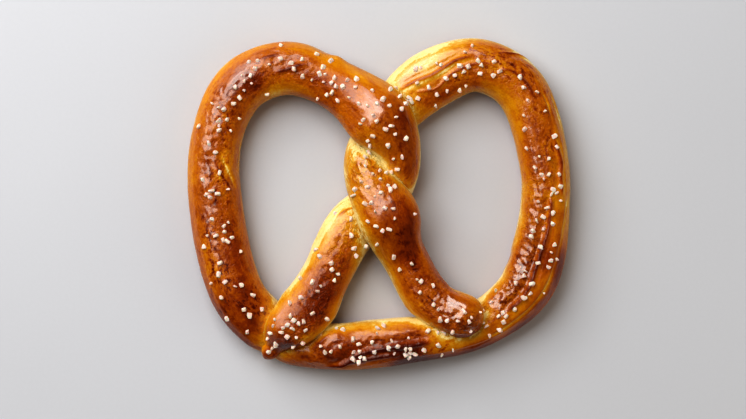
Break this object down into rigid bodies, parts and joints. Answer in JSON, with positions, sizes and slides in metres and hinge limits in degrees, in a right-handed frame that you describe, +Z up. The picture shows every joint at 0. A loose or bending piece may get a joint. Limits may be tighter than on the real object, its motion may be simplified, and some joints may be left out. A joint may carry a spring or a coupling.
{
  "type": "soft pretzel",
  "caption": "Knotted loop of baked dough with a glossy brown crust, pale folds and coarse white salt.",
  "frame": {"origin": "middle of the footprint, on the surface that the pretzel rests on", "axes": "+X across both loops, +Y from the belly to the crowns of the loops, +Z up out of the upper crust"},
  "size_m": [0.1648, 0.1424, 0.0297],
  "materials": {
    "crust": "glossy baked crust, mottled brown, golden at the sides"
  },
  "bodies": {
    "root": {"pretzel": "crust"}
  },
  "joints": []
}
